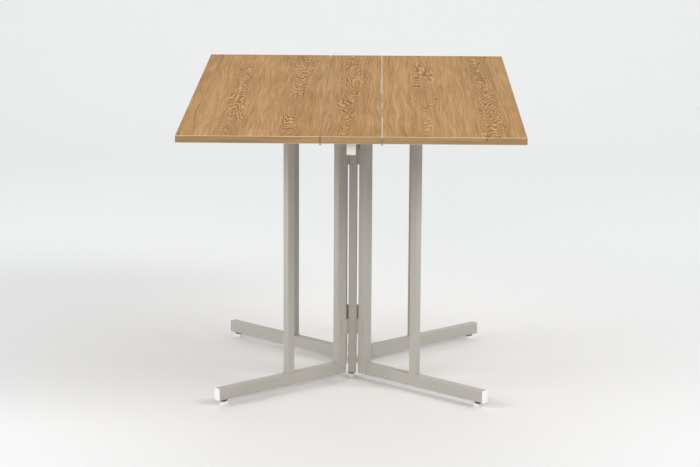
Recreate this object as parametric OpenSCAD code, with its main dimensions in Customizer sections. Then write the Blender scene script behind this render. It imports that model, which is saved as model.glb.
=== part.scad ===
// Folding gateleg table: a narrow fixed centre on a beam and two posts, four steel gates that
// swing out into an X, and two wide leaves that lie on the gates.
// Origin: on the floor under the centre. X runs across the seams, Y along them, Z is up.

/* [Table top] */
// Width of the whole top, across the seams
top_w = 800; // [640:10:960]
// Depth of the whole top, along the seams
top_d = 1200; // [1000:10:1440]
// Height of the top's upper face above the floor
table_h = 725; // [600:5:870]
// Thickness of the boards
board_t = 17; // [14:0.5:25]
// Width of the fixed centre panel, with its edging
centre_w = 139.8; // [115:0.2:167]
// Open gap between the centre panel and each leaf
seam_gap = 1.2; // [1:0.1:4]
// Thickness of the glued edging strip
edge_t = 1.2; // [0.5:0.1:2]

/* [Beam and posts] */
// Width of the beam under the centre panel
beam_w = 20; // [18:1:24]
// Height of the beam
beam_h = 30; // [24:1:40]
// Distance from the end of the top back to the beam's end plug
beam_inset = 26; // [20:1:100]
// Side of the square posts
post_w = 20; // [18:1:24]
// Distance between the two posts' centres
post_pitch = 120; // [100:1:160]
// Side of the rail that ties the posts together
rail_w = 20; // [16:1:20]
// Height of that rail's lower face above the floor
rail_z = 62; // [40:1:100]
// Wall of every steel tube
wall = 1.5; // [1.2:0.1:1.6]
// Outer corner radius of every steel tube
tube_r = 2; // [1.8:0.1:3]

/* [Gates] */
// Angle by which the gates are swung out of the beam's line
open_angle = 50; // [35:1:60]
// Thickness of the gates, square to their own plane
gate_t = 20; // [16:1:24]
// Width of the hinged upright
inner_w = 28; // [24:1:34]
// Width of the outer upright
outer_w = 20; // [16:1:28]
// Distance from the hinge pin to the middle of the outer upright
outer_at = 180; // [150:1:220]
// Height of the foot bar
foot_h = 30; // [24:1:34]
// Distance from the hinge pin to the end of the foot bar's plug
foot_reach = 404; // [337:1:485]
// Height of the top bar
top_bar_h = 20; // [16:1:28]
// Distance from the hinge pin to the end of the top bar's plug
top_bar_reach = 302; // [260:1:340]
// Gap between the leaf and the top bar
top_bar_drop = 4; // [3:0.5:8]
// Height of every tube's lower end above the floor
ground_gap = 14; // [10:1:20]
// Gap between a post and the hinged upright next to it
hinge_gap = 4.8; // [4.6:0.1:8]

/* [Hinges] */
// Length of a gate hinge
gate_hinge_l = 38; // [30:1:50]
// Height of the lower gate hinge's lower end
low_hinge_z = 117; // [110:1:200]
// Distance from the beam down to the upper gate hinge's upper end
high_hinge_drop = 85; // [40:1:120]
// Length of a gate hinge's plate, from the pin
gate_plate_w = 19; // [16:0.5:22]
// Thickness of a gate hinge's plate
gate_plate_t = 1.2; // [1:0.1:1.4]
// Radius of a gate hinge's pin
gate_pin_r = 1.25; // [1:0.05:1.3]
// Radius of a gate hinge's knuckle
gate_knuckle_r = 2.2; // [2.1:0.05:2.2]
// Length of a seam hinge
seam_hinge_l = 50; // [40:1:60]
// Distance from the seam's middle to the edge of a hinge plate
seam_plate_w = 28.5; // [24:0.5:32]
// Thickness of a seam hinge's plate
seam_plate_t = 1.5; // [1.2:0.1:1.6]
// Radius of a seam hinge's pin
seam_pin_r = 1.45; // [1.2:0.05:1.45]
// Radius of a seam hinge's knuckle
seam_knuckle_r = 3; // [3:0.1:3.4]
// Distance from the end of the top to the nearest seam hinge
seam_hinge_inset = 12; // [8:1:60]
// Radial running clearance between a pin and the knuckles that turn on it
running = 0.05; // [0.02:0.01:0.08]

/* [Glides, plugs and fixings] */
// Radius of a glide's base
glide_r = 7; // [6:0.5:10]
// Height of a glide's disc
glide_h = 6.5; // [5:0.5:8]
// Radius of a glide's stud
stud_r = 3; // [2.5:0.5:4]
// Distance from the hinge pin to a gate's glide
glide_at = 386; // [320:1:390]
// Thickness of a plug's rim
rim_t = 2.5; // [1.5:0.5:4]
// How far a plug reaches into its tube
plug_depth = 14; // [10:1:25]
// How much wider than its tube the beam plug's rim is
beam_rim = 1; // [0:0.5:2]
// Depth of the dish in the beam plug's face
dish_t = 1; // [0.5:0.1:1.4]
// Radius of a wood screw's shank
screw_r = 1.75; // [1.5:0.05:2]
// Radius of a wood screw's head
screw_head_r = 3.5; // [3:0.1:4]
// Height of a wood screw's head
screw_head_h = 2; // [1.5:0.1:2.5]
// How far a screw goes into the board
screw_bite = 11; // [8:0.5:12]
// Side of the square bumper that carries the leaf
bumper_w = 18; // [12:1:20]
// Width, length and height of the tabs that hold the beam to the centre panel
tab_w = 24; // [20:1:28]
tab_l = 40; // [30:1:50]
tab_t = 3; // [2:0.5:3]
// Distance from the beam's end back to the middle of the outer tabs
tab_inset = 75; // [40:1:100]
// Width and length of the blocks that stop the gates
stop_w = 14; // [10:1:20]
stop_l = 45; // [30:1:60]

/* [Hidden] */
$fn = 48;
// Gap between separate pieces that must not touch
gap = 0.3;
// Gap between a piece and the hole or tube that it sits in
snug = 0.05;
steel_colour = [0.68, 0.66, 0.61];
oak_colour = [0.64, 0.47, 0.28];
edge_colour = [0.69, 0.53, 0.34];
white_colour = [0.90, 0.90, 0.88];
zinc_colour = [0.62, 0.63, 0.64];

top_z = table_h - board_t;
seam_x = centre_w / 2 + seam_gap / 2;
leaf_w = top_w / 2 - centre_w / 2 - seam_gap;
leaf_mid = top_w / 2 - leaf_w / 2;

beam_z = top_z - beam_h;
beam_l = top_d - 2 * beam_inset - 2 * rim_t;
post_y = post_pitch / 2;
post_l = beam_z - ground_gap;
// The gate pin stands clear of the post's corner, half of the hinge gap in front of it
pin_x = post_w / 2 + gate_plate_t + gap;
pin_y = post_y + post_w / 2 + hinge_gap / 2;

// In a gate's own frame the pin is the origin, X is its thickness and Y runs out along it
gate_x0 = gate_plate_t + gap;
gate_xm = gate_x0 + gate_t / 2;
inner_y0 = hinge_gap / 2;
inner_ym = inner_y0 + inner_w / 2;
top_bar_z = top_z - top_bar_drop - top_bar_h;
foot_y0 = inner_y0 + inner_w;
foot_y1 = foot_reach - rim_t;
top_bar_y1 = top_bar_reach - rim_t;
bumper_at = top_bar_y1 - bumper_w / 2 - 2;
bumper_h = top_bar_drop - gap;

high_hinge_z = beam_z - high_hinge_drop - gate_hinge_l;
hinge_zs = [low_hinge_z, high_hinge_z];
seam_axis_z = top_z - seam_knuckle_r;
seam_hinge_at = top_d / 2 - seam_hinge_inset - seam_hinge_l / 2;
seam_ys = [-seam_hinge_at, 0, seam_hinge_at];
seam_screw_x = seam_plate_w * 0.62;
seam_screw_y = seam_hinge_l * 0.3;
tab_at = beam_l / 2 - tab_inset;
tab_ys = [-tab_at, 0, tab_at];
tab_x = beam_w / 2 + tab_w / 2;
stop_h = top_bar_drop + top_bar_h * 0.6;
knuckles = 5;

// ---- Shapes that repeat ----

// Rectangle with round corners, centred
module rounded(w, d, r) {
    square([w - 2 * r, d], center = true);
    square([w, d - 2 * r], center = true);
    for (x = [-1, 1], y = [-1, 1])
        translate([x * (w / 2 - r), y * (d / 2 - r)]) circle(r = r);
}

// Hollow steel tube that stands on the XY plane
module tube(w, d, length) {
    linear_extrude(length) difference() {
        rounded(w, d, tube_r);
        rounded(w - 2 * wall, d - 2 * wall, tube_r - wall);
    }
}

// Hollow plug for a tube whose open end is the XY plane: a flat cap above it, which may be
// wider by rim and have a dish in its face, and a socket below it that is open inwards
module plug(w, d, rim = 0, dish = 0) {
    inner_w = w - 2 * wall - 2 * snug;
    inner_d = d - 2 * wall - 2 * snug;
    skin = 1.4;
    difference() {
        union() {
            linear_extrude(rim_t) rounded(w + rim, d + rim, tube_r);
            translate([0, 0, -plug_depth]) linear_extrude(plug_depth + rim_t / 2)
                square([inner_w - 1, inner_d - 1], center = true);
        }
        translate([0, 0, -plug_depth - skin]) linear_extrude(plug_depth)
            rounded(inner_w - 2 * skin, inner_d - 2 * skin, tube_r / 2);
        if (dish > 0)
            translate([0, 0, rim_t - dish]) linear_extrude(rim_t)
                rounded(w + rim - 4, d + rim - 4, tube_r);
    }
}

// Board with edging all round: the core is cut back by the strip's thickness
module board_core(w, d) {
    translate([-w / 2 + edge_t, -d / 2 + edge_t, top_z])
        cube([w - 2 * edge_t, d - 2 * edge_t, board_t]);
}

module board_edging(w, d) {
    translate([0, 0, top_z]) linear_extrude(board_t) difference() {
        square([w, d], center = true);
        square([w - 2 * edge_t, d - 2 * edge_t], center = true);
    }
}

// One knuckle of a hinge, along Z from z0, still without its bore
module knuckle(r, z0, length) {
    translate([0, 0, z0]) cylinder(r = r, h = length);
}

// Half of a butt hinge along Z: a plate at x0 that reaches out to y1, and every second knuckle.
// first is 0 for the half with the end knuckles and 1 for the other half.
module hinge_half(length, r, bore, x0, t, y1, first) {
    pitch = length / knuckles;
    clear = r + gap;
    difference() {
        union() {
            translate([x0, clear, 0]) cube([t, y1 - clear, length]);
            for (k = [first : 2 : knuckles - 1]) {
                z0 = k * pitch + (k == 0 ? 0 : gap / 2);
                z1 = (k + 1) * pitch - (k == knuckles - 1 ? 0 : gap / 2);
                knuckle(r, z0, z1 - z0);
                translate([x0, 0, z0]) cube([t, clear + gap, z1 - z0]);
            }
        }
        translate([0, 0, -1]) cylinder(r = bore, h = length + 2);
    }
}

// Pin with a flat head at each end
module hinge_pin(length, r, head_r) {
    cylinder(r = r, h = length);
    translate([0, 0, -0.8]) cylinder(r = head_r, h = 0.8);
    translate([0, 0, length]) cylinder(r = head_r, h = 0.8);
}

// Wood screw pointing up, with its head's upper face on the XY plane
module screw() {
    translate([0, 0, -screw_head_h]) cylinder(r = screw_head_r, h = screw_head_h);
    cylinder(r = screw_r, h = screw_bite);
}

// Screw-in glide: a disc with a bevelled shoulder on the floor and a stud above it
module glide() {
    cylinder(r = glide_r, h = glide_h / 2);
    translate([0, 0, glide_h / 2]) cylinder(r1 = glide_r, r2 = glide_r - 2, h = glide_h / 2);
    translate([0, 0, glide_h]) cylinder(r = stud_r, h = ground_gap + 18 - glide_h);
}

// Places a gate's piece at one corner: side is -1 left or 1 right, end is -1 front or 1 rear
module gate(side, end) {
    translate([side * pin_x, end * pin_y, 0]) rotate([0, 0, -side * end * open_angle])
        mirror([side < 0 ? 1 : 0, 0, 0]) mirror([0, end < 0 ? 1 : 0, 0]) children();
}

// ---- Fixed centre ----

module seam_hinge_places(ys = seam_ys) {
    for (y = ys) translate([0, y, 0]) children();
}

// Turns a hinge that was built along Z so that it lies along Y under a seam, plate upwards
module lay_under_seam(side) {
    translate([side * seam_x, 0, seam_axis_z]) rotate([90, 0, 0])
        translate([0, 0, -seam_hinge_l / 2]) children();
}

// Places of the screws in the plates on one side of a seam; out is 1 away from the centre
module seam_screw_places(side, out) {
    seam_hinge_places() for (y = [-1, 1])
        translate([side * (seam_x + out * seam_screw_x), y * seam_screw_y, 0]) children();
}

module tab_screw_places() {
    for (x = [-1, 1], y = tab_ys, dy = [-1, 1])
        translate([x * (tab_x + 2), y + dy * tab_l / 4, 0]) children();
}

module pilot_hole() {
    translate([0, 0, top_z - 10]) cylinder(r = screw_r + snug, h = screw_bite + 10);
}

module centre_panel() {
    color(oak_colour) difference() {
        board_core(centre_w, top_d);
        seam_screw_places(-1, -1) pilot_hole();
        seam_screw_places(1, -1) pilot_hole();
        tab_screw_places() pilot_hole();
    }
}

module centre_edging() {
    color(edge_colour) board_edging(centre_w, top_d);
}

module beam() {
    color(steel_colour) translate([0, -beam_l / 2, top_z - beam_h / 2]) rotate([-90, 0, 0])
        tube(beam_w, beam_h, beam_l);
}

module beam_plugs() {
    color(white_colour) for (s = [-1, 1]) translate([0, s * beam_l / 2, top_z - beam_h / 2])
        rotate([-s * 90, 0, 0]) translate([0, s * beam_rim / 2, 0])
            beam_plug();
}

// The rim is wider than the beam at the sides and below, and flush with its upper face
module beam_plug() {
    plug(beam_w, beam_h - beam_rim, beam_rim, dish_t);
}

module beam_tabs() {
    color(steel_colour) difference() {
        for (x = [-1, 1], y = tab_ys)
            translate([x * tab_x - tab_w / 2, y - tab_l / 2, top_z - tab_t])
                cube([tab_w, tab_l, tab_t]);
        tab_screw_places() pilot_hole();
    }
}

module post(end) {
    color(steel_colour) translate([0, end * post_y, ground_gap]) tube(post_w, post_w, post_l);
}

module front_post() {
    post(-1);
}

module rear_post() {
    post(1);
}

module lower_rail() {
    rail_l = post_pitch - post_w;
    color(steel_colour) translate([0, -rail_l / 2, rail_z + rail_w / 2]) rotate([-90, 0, 0])
        tube(rail_w, rail_w, rail_l);
}

// Threaded inserts inside the posts' lower ends, which hold the glides' studs
module post_inserts() {
    side = post_w - 2 * wall - 1;
    color(white_colour) for (y = [-1, 1]) translate([0, y * post_y, ground_gap]) difference() {
        linear_extrude(22) square([side, side], center = true);
        translate([0, 0, -1]) cylinder(r = stud_r + snug, h = 24);
    }
}

module post_glides() {
    color(white_colour) for (y = [-1, 1]) translate([0, y * post_y, 0]) glide();
}

module centre_screws() {
    color(zinc_colour) {
        for (s = [-1, 1])
            seam_screw_places(s, -1) translate([0, 0, top_z - seam_plate_t]) screw();
        tab_screw_places() translate([0, 0, top_z - tab_t]) screw();
    }
}

// The plates of a seam hinge: out is -1 for the half on the centre panel, 1 for the leaf's half
module seam_plates(side, out) {
    // the half with the end knuckles is fixed to the centre panel
    first = out < 0 ? 0 : 1;
    bore = seam_pin_r + (out < 0 ? snug / 2 : running);
    color(zinc_colour) difference() {
        seam_hinge_places() lay_under_seam(side) rotate([0, 0, -side * out * 90])
            mirror([side * out > 0 ? 1 : 0, 0, 0])
                hinge_half(seam_hinge_l, seam_knuckle_r, bore, seam_knuckle_r - seam_plate_t,
                    seam_plate_t, seam_plate_w, first);
        seam_screw_places(side, out) pilot_hole();
    }
}

module seam_fixed_plates() {
    seam_plates(-1, -1);
    seam_plates(1, -1);
}

module seam_pins() {
    color(zinc_colour) for (s = [-1, 1]) seam_hinge_places() lay_under_seam(s)
        hinge_pin(seam_hinge_l, seam_pin_r, seam_knuckle_r - 0.4);
}

// Gate hinge half on the post: it points back from the pin, so it is turned half round
module gate_fixed_plates() {
    color(steel_colour) for (side = [-1, 1], end = [-1, 1], z = hinge_zs)
        translate([side * pin_x, end * pin_y, z])
            mirror([side > 0 ? 1 : 0, 0, 0]) mirror([0, end > 0 ? 1 : 0, 0])
                hinge_half(gate_hinge_l, gate_knuckle_r, gate_pin_r + snug / 2, gap,
                    gate_plate_t, gate_plate_w, 0);
}

module gate_pins() {
    color(zinc_colour) for (side = [-1, 1], end = [-1, 1], z = hinge_zs)
        translate([side * pin_x, end * pin_y, z])
            hinge_pin(gate_hinge_l, gate_pin_r, gate_knuckle_r - 0.3);
}

// ---- Leaves ----

module leaf_board(side) {
    color(oak_colour) difference() {
        translate([side * leaf_mid, 0, 0]) board_core(leaf_w, top_d);
        seam_screw_places(side, 1) pilot_hole();
        stop_places(side) stop_screw_places() pilot_hole();
    }
}

module leaf_edging(side) {
    color(edge_colour) translate([side * leaf_mid, 0, 0]) board_edging(leaf_w, top_d);
}

module leaf_screws(side) {
    color(zinc_colour) {
        seam_screw_places(side, 1) translate([0, 0, top_z - seam_plate_t]) screw();
        stop_places(side) stop_screw_places()
            translate([0, 0, top_z - stop_h + screw_head_h + 1]) stop_screw();
    }
}

// Longer screw whose head sits in the counterbore of a stop block
module stop_screw() {
    translate([0, 0, -screw_head_h]) cylinder(r = screw_head_r, h = screw_head_h);
    cylinder(r = screw_r, h = stop_h - screw_head_h - 1 + screw_bite - snug);
}

// A stop block stands just beyond the outer face of each open gate's top bar
module stop_places(side) {
    for (end = [-1, 1]) gate(side, end)
        translate([gate_x0 + gate_t + gap + stop_w / 2, bumper_at, 0]) children();
}

module stop_screw_places() {
    for (y = [-1, 1]) translate([0, y * stop_l / 4, 0]) children();
}

module leaf_stops(side) {
    color(white_colour) difference() {
        stop_places(side) translate([-stop_w / 2, -stop_l / 2, top_z - stop_h])
            cube([stop_w, stop_l, stop_h]);
        stop_places(side) stop_screw_places() {
            pilot_hole();
            translate([0, 0, top_z - stop_h - 1]) cylinder(r = screw_r + snug, h = stop_h + 2);
            translate([0, 0, top_z - stop_h - 1])
                cylinder(r = screw_head_r + snug, h = screw_head_h + 2);
        }
    }
}

// ---- Gates, each piece in the gate's own frame ----

module inner_tube() {
    color(steel_colour) translate([gate_xm, inner_ym, ground_gap])
        tube(gate_t, inner_w, top_bar_z - ground_gap);
}

module outer_tube() {
    z0 = ground_gap + foot_h;
    color(steel_colour) translate([gate_xm, outer_at, z0])
        tube(gate_t, outer_w, top_bar_z - z0);
}

module foot_bar() {
    color(steel_colour) difference() {
        translate([gate_xm, foot_y0, ground_gap + foot_h / 2]) rotate([-90, 0, 0])
            tube(gate_t, foot_h, foot_y1 - foot_y0);
        translate([gate_xm, glide_at, 0]) cylinder(r = stud_r + snug, h = ground_gap + wall + 2);
    }
}

module top_bar() {
    color(steel_colour) translate([gate_xm, inner_y0, top_bar_z + top_bar_h / 2])
        rotate([-90, 0, 0]) tube(gate_t, top_bar_h, top_bar_y1 - inner_y0);
}

// Foot bar plug, top bar plug and the flush insert in the hinged upright's lower end
module end_plugs() {
    color(white_colour) {
        translate([gate_xm, foot_y1, ground_gap + foot_h / 2]) rotate([-90, 0, 0])
            foot_plug();
        translate([gate_xm, top_bar_y1, top_bar_z + top_bar_h / 2]) rotate([-90, 0, 0])
            plug(gate_t, top_bar_h);
        translate([gate_xm, inner_ym, ground_gap]) linear_extrude(8)
            square([gate_t - 2 * wall - 1, inner_w - 2 * wall - 1], center = true);
    }
}

// The foot bar's plug is notched so that its tail passes over the glide's stud
module foot_plug() {
    difference() {
        plug(gate_t, foot_h);
        translate([0, foot_h / 2, glide_at - foot_y1]) rotate([90, 0, 0])
            cylinder(r = stud_r + 1, h = foot_h);
    }
}

module gate_glide() {
    color(white_colour) translate([gate_xm, glide_at, 0]) glide();
}

module bumper() {
    color(white_colour) translate([gate_xm, bumper_at, top_bar_z + top_bar_h])
        linear_extrude(bumper_h) rounded(bumper_w - 2, bumper_w, 2);
}

module gate_hinge_plates() {
    color(steel_colour) for (z = hinge_zs) translate([0, 0, z])
        hinge_half(gate_hinge_l, gate_knuckle_r, gate_pin_r + running, gap, gate_plate_t,
            gate_plate_w, 1);
}

centre_panel();
centre_edging();
beam();
beam_plugs();
beam_tabs();
front_post();
rear_post();
lower_rail();
post_inserts();
post_glides();
centre_screws();
seam_fixed_plates();
seam_pins();
gate_fixed_plates();
gate_pins();

leaf_board(-1);  // left_leaf_board
leaf_edging(-1);  // left_leaf_edging
seam_plates(-1, 1);  // left_leaf_hinge_plates
leaf_screws(-1);  // left_leaf_screws
leaf_stops(-1);  // left_leaf_stops
leaf_board(1);  // right_leaf_board
leaf_edging(1);  // right_leaf_edging
seam_plates(1, 1);  // right_leaf_hinge_plates
leaf_screws(1);  // right_leaf_screws
leaf_stops(1);  // right_leaf_stops

gate(-1, -1) inner_tube();  // front_left_inner_tube
gate(-1, -1) outer_tube();  // front_left_outer_tube
gate(-1, -1) foot_bar();  // front_left_foot_bar
gate(-1, -1) top_bar();  // front_left_top_bar
gate(-1, -1) end_plugs();  // front_left_end_plugs
gate(-1, -1) gate_glide();  // front_left_glide
gate(-1, -1) bumper();  // front_left_bumper
gate(-1, -1) gate_hinge_plates();  // front_left_hinge_plates

gate(1, -1) inner_tube();  // front_right_inner_tube
gate(1, -1) outer_tube();  // front_right_outer_tube
gate(1, -1) foot_bar();  // front_right_foot_bar
gate(1, -1) top_bar();  // front_right_top_bar
gate(1, -1) end_plugs();  // front_right_end_plugs
gate(1, -1) gate_glide();  // front_right_glide
gate(1, -1) bumper();  // front_right_bumper
gate(1, -1) gate_hinge_plates();  // front_right_hinge_plates

gate(-1, 1) inner_tube();  // rear_left_inner_tube
gate(-1, 1) outer_tube();  // rear_left_outer_tube
gate(-1, 1) foot_bar();  // rear_left_foot_bar
gate(-1, 1) top_bar();  // rear_left_top_bar
gate(-1, 1) end_plugs();  // rear_left_end_plugs
gate(-1, 1) gate_glide();  // rear_left_glide
gate(-1, 1) bumper();  // rear_left_bumper
gate(-1, 1) gate_hinge_plates();  // rear_left_hinge_plates

gate(1, 1) inner_tube();  // rear_right_inner_tube
gate(1, 1) outer_tube();  // rear_right_outer_tube
gate(1, 1) foot_bar();  // rear_right_foot_bar
gate(1, 1) top_bar();  // rear_right_top_bar
gate(1, 1) end_plugs();  // rear_right_end_plugs
gate(1, 1) gate_glide();  // rear_right_glide
gate(1, 1) bumper();  // rear_right_bumper
gate(1, 1) gate_hinge_plates();  // rear_right_hinge_plates
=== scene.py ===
"""Looks of the folding gateleg table: oak-look boards on a warm-grey powder-coated steel frame.

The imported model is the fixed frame. This script finishes its tubes, plates and boards, and adds the
pieces that need finer shapes: edge bands, glides, screws and welds. All lengths are metres.
"""

import math

import bmesh
import bpy
from mathutils import Matrix, Vector


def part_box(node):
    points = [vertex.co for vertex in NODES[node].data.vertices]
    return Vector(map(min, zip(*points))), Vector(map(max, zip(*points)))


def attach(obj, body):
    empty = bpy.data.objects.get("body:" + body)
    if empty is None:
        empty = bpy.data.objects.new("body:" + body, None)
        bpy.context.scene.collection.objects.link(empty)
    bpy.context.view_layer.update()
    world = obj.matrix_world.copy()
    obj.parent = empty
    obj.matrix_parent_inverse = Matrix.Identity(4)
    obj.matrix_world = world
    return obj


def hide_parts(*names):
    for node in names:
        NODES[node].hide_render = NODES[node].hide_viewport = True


MM = 0.001
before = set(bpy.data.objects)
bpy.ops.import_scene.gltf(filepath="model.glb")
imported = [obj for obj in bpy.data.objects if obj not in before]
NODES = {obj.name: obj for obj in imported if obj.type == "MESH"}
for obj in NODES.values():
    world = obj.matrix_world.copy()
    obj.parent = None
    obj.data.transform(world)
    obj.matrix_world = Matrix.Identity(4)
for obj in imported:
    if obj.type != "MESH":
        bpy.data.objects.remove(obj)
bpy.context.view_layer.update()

GATES = ("front_left", "front_right", "rear_left", "rear_right")

# The table's own measures, read from the frame
BOARDS = {
    "centre": ("centre_panel", "centre_edging", "centre"),
    "left": ("left_leaf_board", "left_leaf_edging", "left_leaf"),
    "right": ("right_leaf_board", "right_leaf_edging", "right_leaf"),
}
TOP_LOW, TOP_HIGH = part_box("centre_edging")
UNDERSIDE = TOP_LOW.z
BOARD_T = TOP_HIGH.z - TOP_LOW.z
EDGE_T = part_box("centre_panel")[0].x - TOP_LOW.x
CORNER_R = 1.2 * MM
ARRIS_R = 0.9 * MM


# ---------------------------------------------------------------- node trees


def add(tree, kind, inputs=None, **settings):
    """Adds a node; each input is a value, or the socket that feeds it."""
    new = tree.nodes.new(kind)
    for name, value in settings.items():
        setattr(new, name, value)
    for name, value in (inputs or {}).items():
        if isinstance(value, bpy.types.NodeSocket):
            tree.links.new(value, new.inputs[name])
        else:
            new.inputs[name].default_value = value
    return new


def maths(tree, operation, *values, clamp=False):
    """A Math node on up to three values or sockets; gives its output."""
    inputs = dict(enumerate(values))
    return add(tree, "ShaderNodeMath", inputs, operation=operation, use_clamp=clamp).outputs[0]


def noise(tree, vector, scale, detail=2.0, roughness=0.5):
    """A Noise node's value."""
    inputs = {"Vector": vector, "Scale": scale, "Detail": detail, "Roughness": roughness}
    return add(tree, "ShaderNodeTexNoise", inputs).outputs["Fac"]


def stretched(tree, vector, scale):
    """The same vector, each axis multiplied by its own factor."""
    node = add(tree, "ShaderNodeVectorMath", {0: vector, 1: scale}, operation="MULTIPLY")
    return node.outputs[0]


def remap(tree, value, low, high, to_low=0.0, to_high=1.0):
    """Linear map of a value, clamped."""
    inputs = {
        "Value": value,
        "From Min": low,
        "From Max": high,
        "To Min": to_low,
        "To Max": to_high,
    }
    return add(tree, "ShaderNodeMapRange", inputs).outputs["Result"]


def mix(tree, factor, a, b, blend="MIX"):
    """Mixes two colours."""
    new = add(tree, "ShaderNodeMix", data_type="RGBA", blend_type=blend)
    for socket, value in zip((new.inputs[0], new.inputs[6], new.inputs[7]), (factor, a, b)):
        if isinstance(value, bpy.types.NodeSocket):
            tree.links.new(value, socket)
        else:
            socket.default_value = value
    return new.outputs[2]


def new_group(name, inputs, outputs):
    """A shader node group with named sockets; inputs is name -> default value."""
    tree = bpy.data.node_groups.new(name, "ShaderNodeTree")
    kinds = {float: "NodeSocketFloat", tuple: "NodeSocketColor", Vector: "NodeSocketVector"}
    for label, default in inputs.items():
        kind = kinds[type(default)]
        socket = tree.interface.new_socket(name=label, in_out="INPUT", socket_type=kind)
        socket.default_value = default
    for label, kind in outputs.items():
        tree.interface.new_socket(name=label, in_out="OUTPUT", socket_type=kind)
    return tree, add(tree, "NodeGroupInput").outputs, add(tree, "NodeGroupOutput")


def place_group(tree, group, inputs):
    """Places a node group in a material and gives its outputs."""
    return add(tree, "ShaderNodeGroup", inputs, node_tree=group).outputs


def output_of(tree, end, **values):
    """Links a group's results to its output node."""
    for name, value in values.items():
        tree.links.new(value, end.inputs[name])


# ---------------------------------------------------------------- effects


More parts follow.
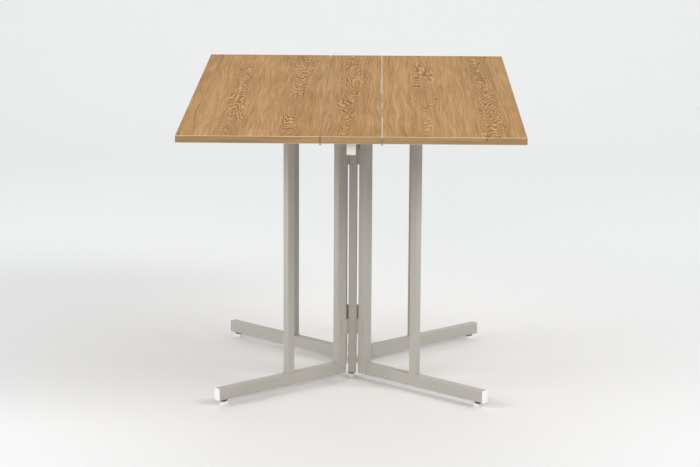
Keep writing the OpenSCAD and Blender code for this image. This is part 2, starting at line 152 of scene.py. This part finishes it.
def oak_print_group():
    """Printed oak: planks side by side, each with a cathedral figure, straight grain and pores.

    The vector is in metres, grain along Y. Rings are the contour lines of a slow hill that is a
    parabola across the plank, so they close into arches in its middle and run straight beside it.
    """
    inputs = {
        "Vector": Vector((0, 0, 0)),
        "Plank Width": 0.15,
        "Eye": Vector((0, 0, 0)),
        "Eye Rings": 0.0,
        "Light": (0.62, 0.40, 0.20, 1.0),
        "Dark": (0.40, 0.23, 0.10, 1.0),
    }
    outputs = {
        "Color": "NodeSocketColor",
        "Roughness": "NodeSocketFloat",
        "Height": "NodeSocketFloat",
    }
    tree, given, end = new_group("oak_print", inputs, outputs)
    place = given["Vector"]
    xyz = add(tree, "ShaderNodeSeparateXYZ", {"Vector": place}).outputs
    across = maths(tree, "DIVIDE", xyz["X"], given["Plank Width"])
    plank = maths(tree, "FLOOR", across)
    seed = maths(tree, "FRACT", maths(tree, "MULTIPLY", maths(tree, "SINE", maths(
        tree, "MULTIPLY", maths(tree, "ADD", plank, 11.3), 12.9898)), 4375.85))

    # the heart line of each plank wanders a little along the board
    sway_at = add(tree, "ShaderNodeCombineXYZ", {"X": seed, "Y": xyz["Y"], "Z": plank}).outputs[0]
    sway = maths(tree, "SUBTRACT", noise(tree, sway_at, 3.1, detail=2.0), 0.5)
    centred = maths(tree, "SUBTRACT", maths(tree, "SUBTRACT", across, plank), 0.5)
    offset = maths(tree, "MULTIPLY_ADD", sway, 0.30, centred)
    metres = maths(tree, "MULTIPLY", offset, given["Plank Width"])

    # the hill whose contours are the rings
    hill = maths(tree, "MULTIPLY", maths(tree, "MULTIPLY", metres, metres), 3800.0)
    slow_at = stretched(tree, place, (14.0, 2.6, 3.0))
    slow_at = add(tree, "ShaderNodeVectorMath", {0: slow_at, 1: add(
        tree, "ShaderNodeCombineXYZ", {"Z": maths(tree, "MULTIPLY", seed, 40.0)}).outputs[0]},
        operation="ADD").outputs[0]
    slow = noise(tree, slow_at, 1.0, detail=2.0, roughness=0.48)
    ripple = noise(tree, stretched(tree, place, (110.0, 28.0, 20.0)), 1.0, detail=3.0)
    # the hill slopes along the board, one way or the other, so the rings open into arches
    slope = remap(tree, seed, 0.45, 0.55, 26.0, -26.0)
    rings = maths(tree, "MULTIPLY_ADD", xyz["Y"], slope, hill)
    rings = maths(tree, "MULTIPLY_ADD", slow, 15.0, rings)
    rings = maths(tree, "MULTIPLY_ADD", ripple, 2.1, rings)
    # an eye is a bump on the hill, with closed rings round it
    away = add(tree, "ShaderNodeVectorMath", {0: place, 1: given["Eye"]},
               operation="SUBTRACT").outputs[0]
    away = stretched(tree, away, (42.0, 12.0, 0.0))
    away = add(tree, "ShaderNodeVectorMath", {0: away, 1: away}, operation="DOT_PRODUCT")
    bulge = maths(tree, "EXPONENT", maths(tree, "MULTIPLY", away.outputs["Value"], -1.0))
    rings = maths(tree, "MULTIPLY_ADD", bulge, given["Eye Rings"], rings)
    wave = maths(tree, "FRACT", rings)
    # each ring darkens slowly, ends sharply, and starts again with a light line
    late = maths(tree, "MULTIPLY", maths(tree, "POWER", wave, 2.6),
                 remap(tree, wave, 0.90, 1.0, 1.0, 0.0))
    early = remap(tree, maths(tree, "ABSOLUTE", maths(tree, "SUBTRACT", wave, 0.14)),
                  0.0, 0.16, 1.0, 0.0)
    ring = maths(tree, "MULTIPLY_ADD", early, -0.75, late)
    # rings are strong in the figure and fade where they crowd towards the plank's sides
    near = remap(tree, maths(tree, "ABSOLUTE", metres), 0.012, 0.055, 1.0, 0.34)
    figure = maths(tree, "MULTIPLY", ring, near)

    # straight grain that follows the rings, pores, darker patches and the planks' own tones
    lean = maths(tree, "MULTIPLY_ADD", slow, 0.030, xyz["X"])
    grain_at = add(tree, "ShaderNodeCombineXYZ", {"X": lean, "Y": xyz["Y"], "Z": seed}).outputs[0]
    fine = noise(tree, stretched(tree, grain_at, (320.0, 5.0, 7.0)), 1.0, detail=5.0,
                 roughness=0.68)
    broad = noise(tree, stretched(tree, grain_at, (80.0, 2.0, 9.0)), 1.0, detail=3.0)
    pores = noise(tree, stretched(tree, grain_at, (1300.0, 46.0, 60.0)), 1.0, detail=2.0)
    pores = remap(tree, pores, 0.62, 0.76)
    patch = noise(tree, stretched(tree, place, (9.0, 4.2, 3.0)), 1.0, detail=3.0)
    tone = maths(tree, "MULTIPLY_ADD", remap(tree, fine, 0.36, 0.64), 0.52, 0.03)
    tone = maths(tree, "MULTIPLY_ADD", remap(tree, broad, 0.34, 0.66), 0.18, tone)
    tone = maths(tree, "MULTIPLY_ADD", remap(tree, patch, 0.45, 0.75), 0.20, tone)
    tone = maths(tree, "MULTIPLY_ADD", maths(tree, "SUBTRACT", seed, 0.5), 0.10, tone)
    dark = maths(tree, "MULTIPLY_ADD", figure, 1.10, tone)
    dark = maths(tree, "MULTIPLY_ADD", pores, 0.16, dark, clamp=True)
    colour = mix(tree, dark, given["Light"], given["Dark"])
    rough = maths(tree, "MULTIPLY_ADD", dark, 0.10, 0.48)
    height = maths(tree, "SUBTRACT", 1.0, maths(tree, "MULTIPLY_ADD", pores, 0.6, figure))
    output_of(tree, end, Color=colour, Roughness=rough, Height=height)
    return tree


def surface_group():
    """Fine mottling and orange peel that coated and moulded surfaces share."""
    inputs = {
        "Vector": Vector((0, 0, 0)),
        "Grain Size": 0.0015,
        "Mottle": 0.05,
        "Base": (0.5, 0.5, 0.5, 1.0),
        "Roughness": 0.5,
    }
    outputs = {
        "Color": "NodeSocketColor",
        "Roughness": "NodeSocketFloat",
        "Height": "NodeSocketFloat",
    }
    tree, given, end = new_group("coated_surface", inputs, outputs)
    scale = maths(tree, "DIVIDE", 1.0, given["Grain Size"])
    peel = noise(tree, given["Vector"], scale, detail=2.0)
    speck = noise(tree, given["Vector"], maths(tree, "MULTIPLY", scale, 2.3), detail=1.0)
    cloud = noise(tree, given["Vector"], 17.0, detail=4.0, roughness=0.6)
    swing = maths(tree, "SUBTRACT", maths(tree, "MULTIPLY_ADD", speck, 0.5, cloud), 0.75)
    factor = maths(tree, "MULTIPLY_ADD", swing, given["Mottle"], 1.0)
    grey = add(tree, "ShaderNodeCombineColor", {"Red": factor, "Green": factor, "Blue": factor})
    colour = mix(tree, 1.0, given["Base"], grey.outputs[0], "MULTIPLY")
    rough = maths(tree, "MULTIPLY_ADD", maths(tree, "SUBTRACT", cloud, 0.5), 0.16,
                  given["Roughness"])
    output_of(tree, end, Color=colour, Roughness=rough, Height=peel)
    return tree


OAK_PRINT = oak_print_group()
COATED = surface_group()


# ---------------------------------------------------------------- materials


def new_material(name):
    """An empty node material; gives it, its tree, its shader and the object coordinates."""
    made = bpy.data.materials.new(name)
    made.use_nodes = True
    tree = made.node_tree
    place = add(tree, "ShaderNodeTexCoord").outputs["Object"]
    return made, tree, tree.nodes["Principled BSDF"], place


def bump(tree, shader, height, strength, distance):
    """Feeds a height into the shader's normal."""
    inputs = {"Strength": strength, "Distance": distance, "Height": height}
    tree.links.new(add(tree, "ShaderNodeBump", inputs).outputs[0], shader.inputs["Normal"])


OAK_LIGHT = (0.575, 0.330, 0.116, 1.0)
OAK_DARK = (0.205, 0.090, 0.014, 1.0)
EDGE_LIGHT = (0.480, 0.312, 0.153, 1.0)
EDGE_DARK = (0.179, 0.098, 0.036, 1.0)
# the rounded arris between top and band is printed pale cream: a painted highlight along the board's
# edge
PAINTED_HIGHLIGHT_PALE = (0.880, 0.690, 0.440, 1.0)
PAINTED_HIGHLIGHT_DEEP = (0.760, 0.560, 0.330, 1.0)
KNOT = (0.080, 0.040, 0.015, 1.0)


def oak(name, shift=(0, 0, 0), turn=(0, 0, 0), width=0.15, light=OAK_LIGHT, dark=OAK_DARK,
        knot=None, eye=(0, 0, 0), eye_rings=0.0):
    """Satin oak-look laminate; shift and turn place the print, knot is the middle of a pin knot.

    eye is the middle of an eye in the figure, in the print's own coordinates.
    """
    made, tree, shader, place = new_material(name)
    mapping = {"Vector": place, "Location": shift, "Rotation": turn}
    mapped = add(tree, "ShaderNodeMapping", mapping).outputs[0]
    printed = place_group(tree, OAK_PRINT, {
        "Vector": mapped, "Plank Width": width, "Light": light, "Dark": dark,
        "Eye": eye, "Eye Rings": eye_rings})
    colour = printed["Color"]
    if knot:
        away = add(tree, "ShaderNodeVectorMath", {0: place, 1: knot}, operation="DISTANCE")
        spot = remap(tree, away.outputs["Value"], 0.0012, 0.0030, 0.85, 0.0)
        colour = mix(tree, spot, colour, KNOT)
    tree.links.new(colour, shader.inputs["Base Color"])
    tree.links.new(printed["Roughness"], shader.inputs["Roughness"])
    shader.inputs["Specular IOR Level"].default_value = 0.12
    bump(tree, shader, printed["Height"], 0.25, 0.0002)
    return made


def coated(name, base, rough, grain, mottle, strength, distance, metallic=0.0):
    """A coated, moulded or plated surface; strength and distance are its bump."""
    made, tree, shader, place = new_material(name)
    skin = place_group(tree, COATED, {
        "Vector": place, "Grain Size": grain, "Mottle": mottle, "Base": base, "Roughness": rough})
    tree.links.new(skin["Color"], shader.inputs["Base Color"])
    tree.links.new(skin["Roughness"], shader.inputs["Roughness"])
    shader.inputs["Specular IOR Level"].default_value = 0.5
    shader.inputs["Metallic"].default_value = metallic
    bump(tree, shader, skin["Height"], strength, distance)
    return made


PLANK = 0.15
OAK = {
    "centre": oak("oak_centre", shift=(0.080, 0.0, 0.0), width=PLANK),
    "left": oak("oak_left", shift=(0.060, 0.31, 0.0), width=PLANK,
                eye=(-0.070, 0.130, 0.0), eye_rings=-14.0),
    "right": oak("oak_right", shift=(0.050, 0.17, 0.0), width=PLANK,
                 eye=(0.200, 0.100, 0.0), eye_rings=-14.0),
}
# on the bands the print lies upright, its grain along the band
QUARTER = math.pi / 2
EDGE_SIDE = oak("oak_edge_side", shift=(0.02, 0.4, 0.0), turn=(0, QUARTER, 0), width=0.4,
                light=EDGE_LIGHT, dark=EDGE_DARK)
EDGE_END = oak("oak_edge_end", shift=(0.02, 0.2, 0.0), turn=(QUARTER, 0, QUARTER), width=0.4,
               light=EDGE_LIGHT, dark=EDGE_DARK, knot=(0.308, TOP_LOW.y, UNDERSIDE + 0.012))
# the oak print in pale cream on the rounded arrises, a painted highlight
ARRIS_PAINTED_HIGHLIGHT = oak("arris_painted_highlight", shift=(0.02, 0.4, 0.0), width=0.4, light=PAINTED_HIGHLIGHT_PALE, dark=PAINTED_HIGHLIGHT_DEEP)
POWDER = coated("warm_grey_powder_coat", (0.465, 0.443, 0.405, 1), 0.42, 0.0011, 0.05, 0.12,
                0.0002)
WELD = coated("coated_weld", (0.455, 0.433, 0.395, 1), 0.45, 0.0016, 0.08, 0.5, 0.0006)
WHITE = coated("white_moulding", (0.92, 0.92, 0.905, 1), 0.38, 0.0009, 0.03, 0.10, 0.0001)
ZINC = coated("zinc_plate", (0.56, 0.57, 0.58, 1), 0.34, 0.0010, 0.10, 0.15, 0.0001, metallic=1.0)
# zinc darkened almost to black: painted shade for the dark slot between the glides and the bars above
# them
ZINC_PAINTED_SHADE = coated("zinc_painted_shade", (0.16, 0.15, 0.14, 1), 0.5, 0.0010, 0.12, 0.15, 0.0001,
                   metallic=1.0)


# ---------------------------------------------------------------- mesh helpers


def to_object(shape, name, materials, body):
    """Turns a bmesh into a piece that rides on a body."""
    bmesh.ops.recalc_face_normals(shape, faces=shape.faces[:])
    mesh = bpy.data.meshes.new(name)
    shape.to_mesh(mesh)
    shape.free()
    piece = bpy.data.objects.new(name, mesh)
    bpy.context.scene.collection.objects.link(piece)
    for material in materials:
        mesh.materials.append(material)
    for polygon in mesh.polygons:
        polygon.use_smooth = True
    mesh.set_sharp_from_angle(angle=math.radians(32))
    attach(piece, body)
    return piece


def box_mesh(low, high):
    """A bmesh box between two corners."""
    shape = bmesh.new()
    size, middle = high - low, (high + low) / 2
    matrix = Matrix.Translation(middle) @ Matrix.Diagonal((*size, 1.0))
    bmesh.ops.create_cube(shape, size=1.0, matrix=matrix)
    return shape


def bevel_edges(shape, edges, offset, segments):
    """Rounds some edges."""
    bmesh.ops.bevel(shape, geom=edges, offset=offset, offset_type="OFFSET", segments=segments,
                    profile=0.5, affect="EDGES", material=-1, clamp_overlap=True)


def soften(node, width):
    """Small round edges on a carried-over node, whose triangles are first joined."""
    part = NODES[node]
    weld = part.modifiers.new("join", "WELD")
    weld.merge_threshold = 0.01 * MM
    round_off = part.modifiers.new("round", "BEVEL")
    round_off.width = width
    round_off.segments = 2
    round_off.limit_method = "ANGLE"
    round_off.angle_limit = math.radians(35)
    round_off.harden_normals = False


def finish(node, material):
    """Gives a carried-over node its material."""
    mesh = NODES[node].data
    mesh.materials.clear()
    mesh.materials.append(material)


# ---------------------------------------------------------------- boards and edge bands


def edge_band(side):
    """The glued band round a board: a thin wall with rounded outer arrises, grain along it; the
    arrises carry a painted highlight.
    """
    _, edging, body = BOARDS[side]
    low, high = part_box(edging)
    shape = box_mesh(low, high)
    corners = [e for e in shape.edges if abs(e.verts[0].co.z - e.verts[1].co.z) > BOARD_T / 2]
    bevel_edges(shape, corners, CORNER_R, segments=4)
    rims = [e for e in shape.edges if abs(e.verts[0].co.z - e.verts[1].co.z) < 1e-6]
    bevel_edges(shape, rims, ARRIS_R, segments=3)
    faces = [f for f in shape.faces if len(f.verts) > 8]
    bmesh.ops.inset_region(shape, faces=faces, thickness=EDGE_T - ARRIS_R, use_even_offset=True)
    inner = [e for f in faces for e in f.edges]
    bmesh.ops.delete(shape, geom=faces, context="FACES_ONLY")
    bmesh.ops.bridge_loops(shape, edges=inner)
    bmesh.ops.recalc_face_normals(shape, faces=shape.faces[:])
    for f in shape.faces:
        middle = f.calc_center_median()
        if abs(f.normal.z) > 0.9:
            f.material_index = int(min(middle.y - low.y, high.y - middle.y) < EDGE_T)
        # the sloping faces of the rounded arrises take the painted highlight
        elif abs(f.normal.z) > 0.1:
            f.material_index = 2
        else:
            f.material_index = int(abs(f.normal.y) > abs(f.normal.x))
    piece = to_object(shape, f"{side}_edge_band", [EDGE_SIDE, EDGE_END, ARRIS_PAINTED_HIGHLIGHT], body)
    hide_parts(edging)


for side in BOARDS:
    finish(BOARDS[side][0], OAK[side])
    edge_band(side)


# ---------------------------------------------------------------- frame, plugs and hinges

for gate in GATES:
    for part in ("inner_tube", "outer_tube", "foot_bar", "top_bar"):
        finish(f"{gate}_{part}", POWDER)
    finish(f"{gate}_hinge_plates", POWDER)
    soften(f"{gate}_hinge_plates", 0.2 * MM)
    finish(f"{gate}_end_plugs", WHITE)
    soften(f"{gate}_end_plugs", 0.35 * MM)
    finish(f"{gate}_bumper", WHITE)
    soften(f"{gate}_bumper", 0.5 * MM)
for node in ("beam", "front_post", "rear_post", "lower_rail"):
    finish(node, POWDER)
for node in ("beam_tabs", "gate_fixed_plates"):
    finish(node, POWDER)
    soften(node, 0.2 * MM)
for node in ("beam_plugs", "post_inserts", "left_leaf_stops", "right_leaf_stops"):
    finish(node, WHITE)
    soften(node, 0.35 * MM)
for node in ("seam_fixed_plates", "left_leaf_hinge_plates", "right_leaf_hinge_plates"):
    finish(node, ZINC)
    soften(node, 0.2 * MM)
for node in ("seam_pins", "gate_pins"):
    finish(node, ZINC)


# ---------------------------------------------------------------- glides, screws and welds


def lathe(shape, profile, centre, segments=32):
    """Turns a profile of (radius, height) pairs, in millimetres, round an upright line."""
    before = set(shape.faces)
    points = [shape.verts.new(Vector((r * MM, 0, z * MM)) + centre) for r, z in profile]
    edges = [shape.edges.new(pair) for pair in zip(points, points[1:])]
    bmesh.ops.spin(shape, geom=points + edges, cent=centre, axis=(0, 0, 1), dvec=(0, 0, 0),
                   angle=2 * math.pi, steps=segments, use_merge=True, use_duplicate=False)
    made = [f for f in shape.faces if f not in before]
    bmesh.ops.remove_doubles(shape, verts=list({v for f in made for v in f.verts}), dist=1e-6)


def prism(shape, sides, radius, low, high, centre, turn=0.0):
    """An upright prism with a small chamfer, heights in metres."""
    matrix = (Matrix.Translation(centre + Vector((0, 0, (low + high) / 2)))
              @ Matrix.Rotation(turn, 4, "Z"))
    made = bmesh.ops.create_cone(shape, cap_ends=True, segments=sides, radius1=radius,
                                 radius2=radius, depth=high - low, matrix=matrix)
    verts = set(made["verts"])
    rims = [e for e in shape.edges if set(e.verts) <= verts
            and abs(e.verts[0].co.z - e.verts[1].co.z) < 1e-7]
    bevel_edges(shape, rims, 0.35 * MM, segments=2)


GLIDE_FOOT = ((0, 0), (5.8, 0), (6.6, 0.25), (7.0, 0.9), (7.0, 4.2), (6.7, 5.0), (5.7, 6.0),
              (5.4, 8.4), (5.0, 8.8), (3.6, 9.0), (0, 9.0))
FOOT_TOP = 9.0
THREAD_R, THREAD_ROOT, PITCH, TURNS, PLAIN_FROM = 3.0, 2.65, 0.9, 7, 16.0
NUT_R, NUT_H = 5.6 * MM, 3.3 * MM
FRAME_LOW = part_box("front_post")[0].z


def clusters(node):
    """Groups a node's points by where they stand; gives each group's low and high corners."""
    groups = []
    for vert in NODES[node].data.vertices:
        at = vert.co
        for group in groups:
            if (group[0].xy - at.xy).length < 12 * MM:
                group.append(at.copy())
                break
        else:
            groups.append([at.copy()])
    corners = []
    for group in groups:
        low = Vector([min(p[i] for p in group) for i in range(3)])
        high = Vector([max(p[i] for p in group) for i in range(3)])
        corners.append((low, high))
    return corners


def glides(node, name, body):
    """White turned feet, and the plated studs and lock nuts above them, darkened as painted shade for
    the gap under the bars.
    """
    feet, studs = bmesh.new(), bmesh.new()
    for low, high in clusters(node):
        centre = Vector(((low.x + high.x) / 2, (low.y + high.y) / 2, 0))
        lathe(feet, GLIDE_FOOT, centre)
        thread = [(0, FOOT_TOP - 0.1), (THREAD_R, FOOT_TOP - 0.1)]
        for k in range(TURNS):
            z = FOOT_TOP + PITCH * k
            thread += [(THREAD_R, z + 0.15), (THREAD_ROOT, z + 0.45), (THREAD_R, z + 0.75)]
        thread += [(THREAD_R, PLAIN_FROM), (THREAD_R, high.z / MM), (0, high.z / MM)]
        lathe(studs, thread, centre, segments=24)
        nut_top = FRAME_LOW - 0.1 * MM
        prism(studs, 6, NUT_R, nut_top - NUT_H, nut_top, centre, turn=0.3)
    foot = to_object(feet, f"{name}_feet", [WHITE], body)
    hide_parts(node)
    # the studs and nuts take the darkened zinc, painted shade for the gap under the bar
    stud = to_object(studs, f"{name}_studs", [ZINC_PAINTED_SHADE], body)


def cross_outline(a, b):
    """Twelve corners of a cross, from its reach and half its arm's width."""
    return [(a, -b), (a, b), (b, b), (b, a), (-b, a), (-b, b), (-a, b), (-a, -b), (-b, -b),
            (-b, -a), (b, -a), (b, -b)]


def screws(node, body):
    """Pan heads with a cross recess, seen from below, on plain shanks."""
    shape = bmesh.new()
    for low, high in clusters(node):
        centre = Vector(((low.x + high.x) / 2, (low.y + high.y) / 2, low.z))
        radius = (high.x - low.x) / 2
        scale = radius / MM / 3.5
        rim = [(2.5 * scale, 0), (3.0 * scale, 0.18), (3.35 * scale, 0.6), (3.5 * scale, 1.2),
               (3.5 * scale, 2.0), (1.75, 2.0), (1.75, (high.z - low.z) / MM),
               (0, (high.z - low.z) / MM)]
        lathe(shape, rim, centre, segments=28)
        brim = [e for e in shape.edges if e.is_boundary and abs(e.verts[0].co.z - low.z) < 1e-6
                and (e.verts[0].co.xy - centre.xy).length < radius]
        corners = [shape.verts.new(centre + Vector((x * MM, y * MM, 0)) * scale)
                   for x, y in cross_outline(1.7, 0.42)]
        outline = [shape.edges.new((a, b)) for a, b in zip(corners, corners[1:] + corners[:1])]
        bmesh.ops.triangle_fill(shape, edges=brim + outline, use_beauty=True, use_dissolve=False)
        lids = [f for f in shape.faces if set(f.verts) <= set(corners)]
        bmesh.ops.delete(shape, geom=lids, context="FACES_ONLY")
        walls = bmesh.ops.extrude_edge_only(shape, edges=[e for e in outline if e.is_valid])
        deep = [g for g in walls["geom"] if isinstance(g, bmesh.types.BMVert)]
        bmesh.ops.translate(shape, verts=deep, vec=(0, 0, 1.0 * MM))
        bmesh.ops.scale(shape, verts=deep, vec=(0.72, 0.72, 1.0),
                        space=Matrix.Translation(-centre))
        ends = [g for g in walls["geom"] if isinstance(g, bmesh.types.BMEdge)
                and set(g.verts) <= set(deep)]
        bmesh.ops.triangle_fill(shape, edges=ends, use_beauty=True, use_dissolve=False)
    piece = to_object(shape, node.replace("screws", "cross_screws"), [ZINC], body)
    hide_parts(node)


def bead(shape, corners, radius=1.0 * MM):
    """A weld bead along a closed outline: a round bar on each side and a ball at each corner."""
    for start, stop in zip(corners, corners[1:] + corners[:1]):
        along = stop - start
        turn = along.to_track_quat("Z", "Y").to_matrix().to_4x4()
        matrix = Matrix.Translation((start + stop) / 2) @ turn
        bmesh.ops.create_cone(shape, cap_ends=False, segments=10, radius1=radius,
                              radius2=radius, depth=along.length, matrix=matrix)
        bmesh.ops.create_uvsphere(shape, u_segments=10, v_segments=6, radius=radius,
                                  matrix=Matrix.Translation(start))


def outline(middle, one, two):
    """Four corners round a middle, from two half sides."""
    return [middle + one + two, middle - one + two, middle - one - two, middle + one - two]


# how the open gates stand: the hinge pin, the turn, and places along and across a gate
PIN = Vector((11.5 * MM, 72.4 * MM, 0))
OPEN = math.radians(50)
GATE_MIDDLE = 11.5 * MM
HALF_TUBE = 10 * MM
OUTER_AT = 180 * MM
INNER_FACE = 30.4 * MM
UP = Vector((0, 0, 1))
SIGNS = {"front_left": (-1, -1), "front_right": (1, -1), "rear_left": (-1, 1),
         "rear_right": (1, 1)}


def gate_welds(gate):
    """Beads where a gate's bars meet its uprights."""
    x, y = SIGNS[gate]
    pin = Vector((x * PIN.x, y * PIN.y, 0))
    out = Vector((x * math.sin(OPEN), y * math.cos(OPEN), 0))
    over = Vector((x * math.cos(OPEN), -y * math.sin(OPEN), 0))
    middle = pin + over * GATE_MIDDLE
    foot_low, foot_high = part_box(f"{gate}_foot_bar")
    bar_low, bar_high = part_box(f"{gate}_top_bar")
    shape = bmesh.new()
    for z in (foot_high.z, bar_low.z):
        centre = middle + out * OUTER_AT + UP * z
        bead(shape, outline(centre, out * HALF_TUBE, over * HALF_TUBE))
    for low, high in ((foot_low.z, foot_high.z), (bar_low.z, bar_high.z)):
        centre = middle + out * INNER_FACE + UP * (low + high) / 2
        bead(shape, outline(centre, over * HALF_TUBE, UP * (high - low) / 2))
    to_object(shape, f"{gate}_welds", [WELD], f"{gate}_gate")


def centre_welds():
    """Beads where the posts meet the beam and the lower rail."""
    shape = bmesh.new()
    side, ahead = Vector((HALF_TUBE, 0, 0)), Vector((0, HALF_TUBE, 0))
    rail_low, rail_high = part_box("lower_rail")
    for post in ("front_post", "rear_post"):
        low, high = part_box(post)
        centre = (low + high) / 2
        bead(shape, outline(Vector((0, centre.y, high.z)), side, ahead))
        end = rail_low.y if centre.y < 0 else rail_high.y
        middle = Vector((0, end, (rail_low.z + rail_high.z) / 2))
        bead(shape, outline(middle, side, UP * HALF_TUBE))
    to_object(shape, "centre_welds", [WELD], "centre")


glides("post_glides", "post", "centre")
for gate in GATES:
    glides(f"{gate}_glide", gate, f"{gate}_gate")
    gate_welds(gate)
centre_welds()
for body in ("centre", "left_leaf", "right_leaf"):
    screws(f"{body}_screws", body)


# ---------------------------------------------------------------- studio

FLOOR_COLOUR = (0.825, 0.833, 0.835, 1.0)


def studio_floor():
    """A pale floor that curves up into a backdrop behind the table."""
    width, front, back, height, radius = 14.0, -8.0, 4.5, 5.0, 1.8
    shape = bmesh.new()
    start = [shape.verts.new((x, front, 0.0)) for x in (-width / 2, width / 2)]
    edge = shape.edges.new(start)
    path = [(back - radius, 0.0)]
    steps = 12
    for i in range(1, steps + 1):
        a = math.pi / 2 * i / steps
        path.append((back - radius + radius * math.sin(a), radius - radius * math.cos(a)))
    path.append((back, height))
    y, z = front, 0.0
    for to_y, to_z in path:
        grown = bmesh.ops.extrude_edge_only(shape, edges=[edge])["geom"]
        verts = [g for g in grown if isinstance(g, bmesh.types.BMVert)]
        bmesh.ops.translate(shape, verts=verts, vec=(0, to_y - y, to_z - z))
        edge = next(g for g in grown if isinstance(g, bmesh.types.BMEdge)
                    and set(g.verts) == set(verts))
        y, z = to_y, to_z
    bmesh.ops.recalc_face_normals(shape, faces=shape.faces)
    shape.normal_update()
    if next(iter(shape.faces)).normal.z < 0:
        bmesh.ops.reverse_faces(shape, faces=shape.faces)
    mesh = bpy.data.meshes.new("studio_floor")
    shape.to_mesh(mesh)
    shape.free()
    floor = bpy.data.objects.new("studio_floor", mesh)
    bpy.context.scene.collection.objects.link(floor)
    for polygon in mesh.polygons:
        polygon.use_smooth = True
    made, tree, shader, place = new_material("pale_floor")
    skin = place_group(tree, COATED, {
        "Vector": place, "Grain Size": 0.004, "Mottle": 0.01, "Base": FLOOR_COLOUR,
        "Roughness": 0.7})
    tree.links.new(skin["Color"], shader.inputs["Base Color"])
    tree.links.new(skin["Roughness"], shader.inputs["Roughness"])
    shader.inputs["Specular IOR Level"].default_value = 0.2
    # the backdrop is seen from the table's side only, so a camera behind it sees the table
    behind = add(tree, "ShaderNodeNewGeometry").outputs["Backfacing"]
    clear = add(tree, "ShaderNodeBsdfTransparent").outputs[0]
    blend = add(tree, "ShaderNodeMixShader", {0: behind, 1: shader.outputs[0], 2: clear})
    tree.links.new(blend.outputs[0], tree.nodes["Material Output"].inputs[0])
    mesh.materials.append(made)


def softbox(name, place, aim, size, power):
    """A large square lamp that looks at a point."""
    lamp = bpy.data.lights.new(name, "AREA")
    lamp.shape = "RECTANGLE"
    lamp.size, lamp.size_y = size
    lamp.energy = power
    holder = bpy.data.objects.new(name, lamp)
    bpy.context.scene.collection.objects.link(holder)
    holder.location = place
    holder.rotation_euler = (Vector(aim) - Vector(place)).to_track_quat("-Z", "Y").to_euler()


def room_light(strength):
    """Even pale light from all round."""
    world = bpy.data.worlds.new("studio")
    bpy.context.scene.world = world
    world.use_nodes = True
    for old in list(world.node_tree.nodes):
        world.node_tree.nodes.remove(old)
    back = add(world.node_tree, "ShaderNodeBackground",
               {"Color": (1.0, 1.0, 1.0, 1.0), "Strength": strength})
    add(world.node_tree, "ShaderNodeOutputWorld", {"Surface": back.outputs[0]})


def camera():
    """Long lens, a little above the top, turned slightly to the left of the table's middle."""
    lens = bpy.data.cameras.new("camera")
    lens.sensor_width = 36.0
    lens.lens = 123.82
    lens.clip_end = 100.0
    yaw, pitch, roll = 0.01110, 0.22776, 0.00550
    forward = Vector((-math.sin(yaw) * math.cos(pitch), math.cos(yaw) * math.cos(pitch),
                      -math.sin(pitch)))
    level = Vector((math.cos(yaw), math.sin(yaw), 0.0))
    upright = level.cross(forward)
    right = math.cos(roll) * level + math.sin(roll) * upright
    up = -math.sin(roll) * level + math.cos(roll) * upright
    holder = bpy.data.objects.new("camera", lens)
    bpy.context.scene.collection.objects.link(holder)
    turn = Matrix((right, up, -forward)).transposed()
    holder.matrix_world = Matrix.Translation((0.05826, -5.96554, 1.74345)) @ turn.to_4x4()
    bpy.context.scene.camera = holder


studio_floor()
room_light(0.27)
softbox("left", (-4.2, -1.9, 2.75), (0, 0, 0.5), (2.4, 2.5), 112)
softbox("right", (4.06, -2.16, 4.1), (0, 0, 0.5), (2.4, 2.3), 172)
softbox("front", (-0.8, -4.6, 2.75), (0, 0, 0.5), (3.0, 1.55), 62)
softbox("backdrop", (0.0, 1.9, 4.4), (0, 1.9, 0), (8.0, 3.4), 90)
bpy.context.scene.view_settings.view_transform = "Standard"
camera()
